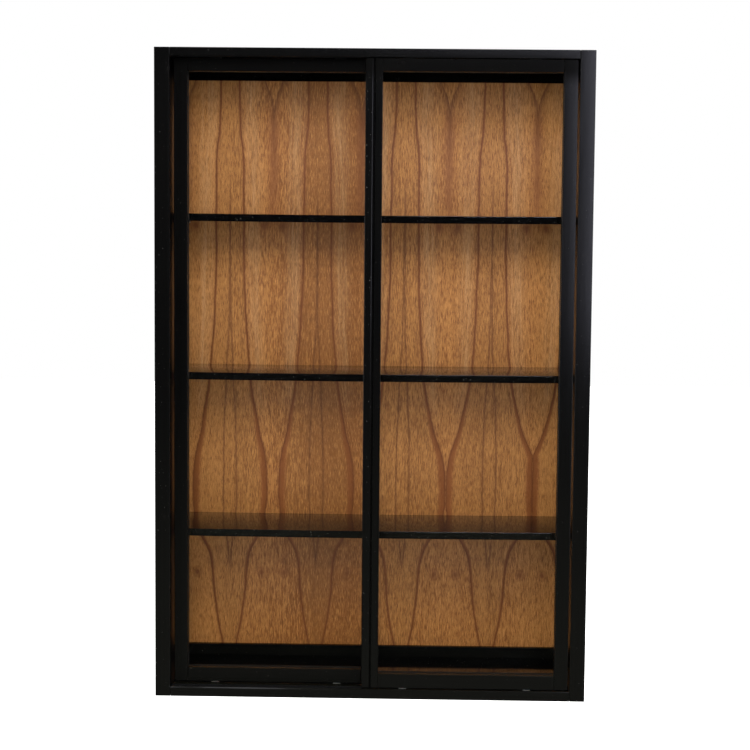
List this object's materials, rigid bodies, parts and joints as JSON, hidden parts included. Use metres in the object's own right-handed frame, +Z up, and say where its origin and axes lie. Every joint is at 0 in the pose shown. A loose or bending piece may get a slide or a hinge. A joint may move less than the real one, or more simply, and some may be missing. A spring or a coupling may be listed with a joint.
{
  "type": "wall mounted showcase",
  "caption": "Shallow wall-hung display cabinet in black lacquered wood, with glazed sliding doors on rollers that pass each other, full-width shelves and a wood-veneered back",
  "frame": {"origin": "middle of the hanging rail's rear face, in the plane of the wall", "axes": "+Z up, +Y into the wall, +X to the right seen from the front; the doors face -Y"},
  "size_m": [0.8, 0.24, 1.2],
  "materials": {
    "black_lacquer": "satin-gloss black lacquer on wood",
    "shelf_lacquer": "high-gloss black lacquer on wood",
    "wood_veneer": "oiled open-pored veneer, vertical grain",
    "clear_glass": "clear float glass, 4 mm",
    "black_rubber": "matt black glazing gasket",
    "black_channel": "black anodised channel",
    "white_nylon": "natural nylon",
    "zinc_steel": "zinc-plated steel"
  },
  "bodies": {
    "cabinet": {"back_batten_lower": "black_lacquer", "back_batten_upper": "black_lacquer", "back_panel": "wood_veneer", "bottom_panel": "black_lacquer", "bottom_track_front": "black_channel", "bottom_track_rear": "black_channel", "hanger_plate_left": "zinc_steel", "hanger_plate_right": "zinc_steel", "hanger_screw_left_a": "zinc_steel", "hanger_screw_left_b": "zinc_steel", "hanger_screw_right_a": "zinc_steel", "hanger_screw_right_b": "zinc_steel", "hanging_rail": "black_lacquer", "shelf_lower": "shelf_lacquer", "shelf_middle": "shelf_lacquer", "shelf_pin_lower_left_front": "zinc_steel", "shelf_pin_lower_left_rear": "zinc_steel", "shelf_pin_lower_right_front": "zinc_steel", "shelf_pin_lower_right_rear": "zinc_steel", "shelf_pin_upper_left_front": "zinc_steel", "shelf_pin_upper_left_rear": "zinc_steel", "shelf_pin_upper_right_front": "zinc_steel", "shelf_pin_upper_right_rear": "zinc_steel", "shelf_upper": "shelf_lacquer", "side_panel_left": "black_lacquer", "side_panel_right": "black_lacquer", "spacer_rail": "black_lacquer", "top_guide_track_front": "black_channel", "top_guide_track_rear": "black_channel", "top_panel": "black_lacquer"},
    "left_door": {"left_door_gasket": "black_rubber", "left_door_glass": "clear_glass", "left_door_guide_left": "white_nylon", "left_door_guide_right": "white_nylon", "left_door_rail_bottom": "black_lacquer", "left_door_rail_top": "black_lacquer", "left_door_roller_left_axle": "zinc_steel", "left_door_roller_left_housing": "zinc_steel", "left_door_roller_right_axle": "zinc_steel", "left_door_roller_right_housing": "zinc_steel", "left_door_stile_meeting": "black_lacquer", "left_door_stile_outer": "black_lacquer"},
    "right_door": {"right_door_gasket": "black_rubber", "right_door_glass": "clear_glass", "right_door_guide_left": "white_nylon", "right_door_guide_right": "white_nylon", "right_door_rail_bottom": "black_lacquer", "right_door_rail_top": "black_lacquer", "right_door_roller_left_axle": "zinc_steel", "right_door_roller_left_housing": "zinc_steel", "right_door_roller_right_axle": "zinc_steel", "right_door_roller_right_housing": "zinc_steel", "right_door_stile_meeting": "black_lacquer", "right_door_stile_outer": "black_lacquer"},
    "left_door_roller_left": {"left_door_roller_left_wheel": "white_nylon"},
    "left_door_roller_right": {"left_door_roller_right_wheel": "white_nylon"},
    "right_door_roller_left": {"right_door_roller_left_wheel": "white_nylon"},
    "right_door_roller_right": {"right_door_roller_right_wheel": "white_nylon"}
  },
  "joints": [
    {"name": "left_door_slide", "type": "slide", "parent": "cabinet", "child": "left_door", "axis": [1, 0, 0], "range_m": [0, 0.355]},
    {"name": "right_door_slide", "type": "slide", "parent": "cabinet", "child": "right_door", "axis": [-1, 0, 0], "range_m": [0, 0.353]},
    {"name": "left_door_roller_left_spin", "type": "hinge", "parent": "left_door", "child": "left_door_roller_left", "pos_m": [-0.2925, -0.202, -1.1119], "axis": [0, 1, 0], "range_deg": [-10, 2560]},
    {"name": "left_door_roller_right_spin", "type": "hinge", "parent": "left_door", "child": "left_door_roller_right", "pos_m": [-0.063, -0.202, -1.1119], "axis": [0, 1, 0], "range_deg": [-10, 2560]},
    {"name": "right_door_roller_left_spin", "type": "hinge", "parent": "right_door", "child": "right_door_roller_left", "pos_m": [0.061, -0.228, -1.1119], "axis": [0, -1, 0], "range_deg": [-10, 2560]},
    {"name": "right_door_roller_right_spin", "type": "hinge", "parent": "right_door", "child": "right_door_roller_right", "pos_m": [0.2925, -0.228, -1.1119], "axis": [0, -1, 0], "range_deg": [-10, 2560]}
  ],
  "couplings": [
    {"joint": "left_door_roller_left_spin", "follows": "left_door_slide", "rad_per_m": 125},
    {"joint": "left_door_roller_right_spin", "follows": "left_door_slide", "rad_per_m": 125},
    {"joint": "right_door_roller_left_spin", "follows": "right_door_slide", "rad_per_m": 125},
    {"joint": "right_door_roller_right_spin", "follows": "right_door_slide", "rad_per_m": 125}
  ]
}
